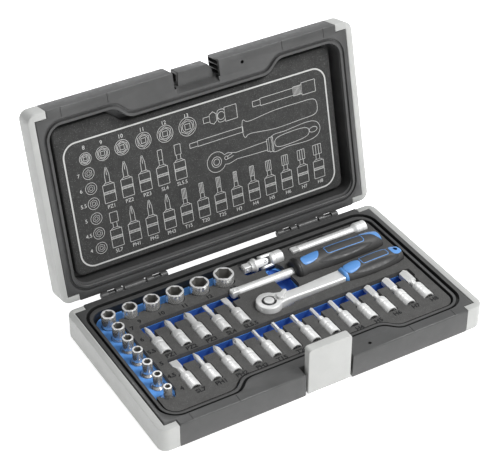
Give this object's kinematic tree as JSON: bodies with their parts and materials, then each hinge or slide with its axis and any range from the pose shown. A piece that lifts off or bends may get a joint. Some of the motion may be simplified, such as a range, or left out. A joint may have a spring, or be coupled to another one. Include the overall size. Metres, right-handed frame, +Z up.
{
  "type": "socket wrench set in case",
  "caption": "Square-drive socket and bit set in a hinged carrying case with foam inlays, ratchet, spinner handle, extension bar and universal joint.",
  "frame": {"origin": "middle of the flat underside of the case", "axes": "+Z up, +X along the case to the right seen from the latch, -Y towards the latch, hinges towards +Y"},
  "size_m": [0.3, 0.2288, 0.1862],
  "materials": {
    "shell_plastic": "dark grey moulded polypropylene with a fine grain",
    "cap_plastic": "light grey moulded polypropylene",
    "black_foam": "dense closed-cell foam, charcoal",
    "blue_foam": "closed-cell foam, blue",
    "chrome": "bright nickel-chrome plate",
    "steel_pin": "plain steel",
    "grip_rubber": "moulded soft grip, near-black"
  },
  "bodies": {
    "base": {"base_shell": "shell_plastic", "base_left_cap": "cap_plastic", "base_right_cap": "cap_plastic", "left_hinge_pin": "steel_pin", "right_hinge_pin": "steel_pin", "latch_pin": "steel_pin", "tray_foam": "black_foam", "tray_base_foam": "blue_foam"},
    "lid": {"lid_shell": "shell_plastic", "lid_left_cap": "cap_plastic", "lid_right_cap": "cap_plastic", "lid_pad": "black_foam"},
    "latch": {"front_latch": "cap_plastic"},
    "ratchet_handle": {"ratchet_body": "chrome", "ratchet_cover": "chrome", "ratchet_grip": "grip_rubber"},
    "ratchet_drive": {"ratchet_gear": "steel_pin"},
    "ratchet_selector": {"ratchet_lever": "chrome"},
    "ratchet_button": {"ratchet_release_button": "chrome"},
    "uj_socket_end": {"uj_socket_yoke": "chrome"},
    "uj_centre": {"uj_cross": "steel_pin"},
    "uj_drive_end": {"uj_drive_yoke": "chrome"},
    "extension": {"extension_bar": "chrome"},
    "spinner_handle": {"spinner_shaft": "chrome", "spinner_grip": "grip_rubber"},
    "socket_13mm_piece": {"socket_13mm": "chrome"},
    "socket_12mm_piece": {"socket_12mm": "chrome"},
    "socket_11mm_piece": {"socket_11mm": "chrome"},
    "socket_10mm_piece": {"socket_10mm": "chrome"},
    "socket_9mm_piece": {"socket_9mm": "chrome"},
    "socket_8mm_piece": {"socket_8mm": "chrome"},
    "socket_7mm_piece": {"socket_7mm": "chrome"},
    "socket_6mm_piece": {"socket_6mm": "chrome"},
    "socket_5_5mm_piece": {"socket_5_5mm": "chrome"},
    "socket_5mm_piece": {"socket_5mm": "chrome"},
    "socket_4_5mm_piece": {"socket_4_5mm": "chrome"},
    "socket_4mm_piece": {"socket_4mm": "chrome"},
    "bit_sl7_piece": {"bit_sl7": "chrome"},
    "bit_ph1_piece": {"bit_ph1": "chrome"},
    "bit_ph2_piece": {"bit_ph2": "chrome"},
    "bit_ph3_piece": {"bit_ph3": "chrome"},
    "bit_t15_piece": {"bit_t15": "chrome"},
    "bit_t20_piece": {"bit_t20": "chrome"},
    "bit_t25_piece": {"bit_t25": "chrome"},
    "bit_h3_piece": {"bit_h3": "chrome"},
    "bit_h4_piece": {"bit_h4": "chrome"},
    "bit_h5_piece": {"bit_h5": "chrome"},
    "bit_h6_piece": {"bit_h6": "chrome"},
    "bit_h7_piece": {"bit_h7": "chrome"},
    "bit_h8_piece": {"bit_h8": "chrome"},
    "bit_pz1_piece": {"bit_pz1": "chrome"},
    "bit_pz2_piece": {"bit_pz2": "chrome"},
    "bit_pz3_piece": {"bit_pz3": "chrome"},
    "bit_sl4_piece": {"bit_sl4": "chrome"},
    "bit_sl5_5_piece": {"bit_sl5_5": "chrome"}
  },
  "joints": [
    {"name": "lid_hinge", "type": "hinge", "parent": "base", "child": "lid", "pos_m": [0, 0.08576, 0.0228], "axis": [-1, 0, 0], "range_deg": [-103.8, 0]},
    {"name": "latch_hinge", "type": "hinge", "parent": "base", "child": "latch", "pos_m": [0, -0.0785, 0.006], "axis": [1, 0, 0], "range_deg": [0, 90]},
    {"name": "ratchet_lift", "type": "slide", "parent": "base", "child": "ratchet_handle", "axis": [0, 0, 1], "range_m": [0, 0.06]},
    {"name": "ratchet_drive_spin", "type": "hinge", "parent": "ratchet_handle", "child": "ratchet_drive", "pos_m": [-0.0011, 0.0079, 0.0205], "axis": [0, 0, 1], "continuous": true},
    {"name": "ratchet_lever_hinge", "type": "hinge", "parent": "ratchet_handle", "child": "ratchet_selector", "pos_m": [0.00951, 0.00758, 0.0205], "axis": [0, 0, 1], "range_deg": [0, 44]},
    {"name": "ratchet_button_press", "type": "slide", "parent": "ratchet_drive", "child": "ratchet_button", "axis": [0, 0, -1], "range_m": [0, 0.0015], "stiffness_N_per_m": 800, "springref_m": -0.001},
    {"name": "uj_lift", "type": "slide", "parent": "base", "child": "uj_socket_end", "axis": [0, 0, 1], "range_m": [0, 0.06]},
    {"name": "uj_cross_hinge", "type": "hinge", "parent": "uj_socket_end", "child": "uj_centre", "pos_m": [0.0235, 0.0595, 0.0212], "axis": [0, 0.7071, 0.7071], "range_deg": [0, 30]},
    {"name": "uj_drive_hinge", "type": "hinge", "parent": "uj_centre", "child": "uj_drive_end", "pos_m": [0.0235, 0.0595, 0.0212], "axis": [0, 0.7071, -0.7071], "range_deg": [0, 30]},
    {"name": "extension_lift", "type": "slide", "parent": "base", "child": "extension", "axis": [0, 0, 1], "range_m": [0, 0.06]},
    {"name": "spinner_lift", "type": "slide", "parent": "base", "child": "spinner_handle", "axis": [0, 0, 1], "range_m": [0, 0.06]},
    {"name": "socket_13mm_lift", "type": "slide", "parent": "base", "child": "socket_13mm_piece", "axis": [0, 0, 1], "range_m": [0, 0.06]},
    {"name": "socket_12mm_lift", "type": "slide", "parent": "base", "child": "socket_12mm_piece", "axis": [0, 0, 1], "range_m": [0, 0.06]},
    {"name": "socket_11mm_lift", "type": "slide", "parent": "base", "child": "socket_11mm_piece", "axis": [0, 0, 1], "range_m": [0, 0.06]},
    {"name": "socket_10mm_lift", "type": "slide", "parent": "base", "child": "socket_10mm_piece", "axis": [0, 0, 1], "range_m": [0, 0.06]},
    {"name": "socket_9mm_lift", "type": "slide", "parent": "base", "child": "socket_9mm_piece", "axis": [0, 0, 1], "range_m": [0, 0.06]},
    {"name": "socket_8mm_lift", "type": "slide", "parent": "base", "child": "socket_8mm_piece", "axis": [0, 0, 1], "range_m": [0, 0.06]},
    {"name": "socket_7mm_lift", "type": "slide", "parent": "base", "child": "socket_7mm_piece", "axis": [0, 0, 1], "range_m": [0, 0.06]},
    {"name": "socket_6mm_lift", "type": "slide", "parent": "base", "child": "socket_6mm_piece", "axis": [0, 0, 1], "range_m": [0, 0.06]},
    {"name": "socket_5_5mm_lift", "type": "slide", "parent": "base", "child": "socket_5_5mm_piece", "axis": [0, 0, 1], "range_m": [0, 0.06]},
    {"name": "socket_5mm_lift", "type": "slide", "parent": "base", "child": "socket_5mm_piece", "axis": [0, 0, 1], "range_m": [0, 0.06]},
    {"name": "socket_4_5mm_lift", "type": "slide", "parent": "base", "child": "socket_4_5mm_piece", "axis": [0, 0, 1], "range_m": [0, 0.06]},
    {"name": "socket_4mm_lift", "type": "slide", "parent": "base", "child": "socket_4mm_piece", "axis": [0, 0, 1], "range_m": [0, 0.06]},
    {"name": "bit_sl7_lift", "type": "slide", "parent": "base", "child": "bit_sl7_piece", "axis": [0, 0, 1], "range_m": [0, 0.06]},
    {"name": "bit_ph1_lift", "type": "slide", "parent": "base", "child": "bit_ph1_piece", "axis": [0, 0, 1], "range_m": [0, 0.06]},
    {"name": "bit_ph2_lift", "type": "slide", "parent": "base", "child": "bit_ph2_piece", "axis": [0, 0, 1], "range_m": [0, 0.06]},
    {"name": "bit_ph3_lift", "type": "slide", "parent": "base", "child": "bit_ph3_piece", "axis": [0, 0, 1], "range_m": [0, 0.06]},
    {"name": "bit_t15_lift", "type": "slide", "parent": "base", "child": "bit_t15_piece", "axis": [0, 0, 1], "range_m": [0, 0.06]},
    {"name": "bit_t20_lift", "type": "slide", "parent": "base", "child": "bit_t20_piece", "axis": [0, 0, 1], "range_m": [0, 0.06]},
    {"name": "bit_t25_lift", "type": "slide", "parent": "base", "child": "bit_t25_piece", "axis": [0, 0, 1], "range_m": [0, 0.06]},
    {"name": "bit_h3_lift", "type": "slide", "parent": "base", "child": "bit_h3_piece", "axis": [0, 0, 1], "range_m": [0, 0.06]},
    {"name": "bit_h4_lift", "type": "slide", "parent": "base", "child": "bit_h4_piece", "axis": [0, 0, 1], "range_m": [0, 0.06]},
    {"name": "bit_h5_lift", "type": "slide", "parent": "base", "child": "bit_h5_piece", "axis": [0, 0, 1], "range_m": [0, 0.06]},
    {"name": "bit_h6_lift", "type": "slide", "parent": "base", "child": "bit_h6_piece", "axis": [0, 0, 1], "range_m": [0, 0.06]},
    {"name": "bit_h7_lift", "type": "slide", "parent": "base", "child": "bit_h7_piece", "axis": [0, 0, 1], "range_m": [0, 0.06]},
    {"name": "bit_h8_lift", "type": "slide", "parent": "base", "child": "bit_h8_piece", "axis": [0, 0, 1], "range_m": [0, 0.06]},
    {"name": "bit_pz1_lift", "type": "slide", "parent": "base", "child": "bit_pz1_piece", "axis": [0, 0, 1], "range_m": [0, 0.06]},
    {"name": "bit_pz2_lift", "type": "slide", "parent": "base", "child": "bit_pz2_piece", "axis": [0, 0, 1], "range_m": [0, 0.06]},
    {"name": "bit_pz3_lift", "type": "slide", "parent": "base", "child": "bit_pz3_piece", "axis": [0, 0, 1], "range_m": [0, 0.06]},
    {"name": "bit_sl4_lift", "type": "slide", "parent": "base", "child": "bit_sl4_piece", "axis": [0, 0, 1], "range_m": [0, 0.06]},
    {"name": "bit_sl5_5_lift", "type": "slide", "parent": "base", "child": "bit_sl5_5_piece", "axis": [0, 0, 1], "range_m": [0, 0.06]}
  ]
}
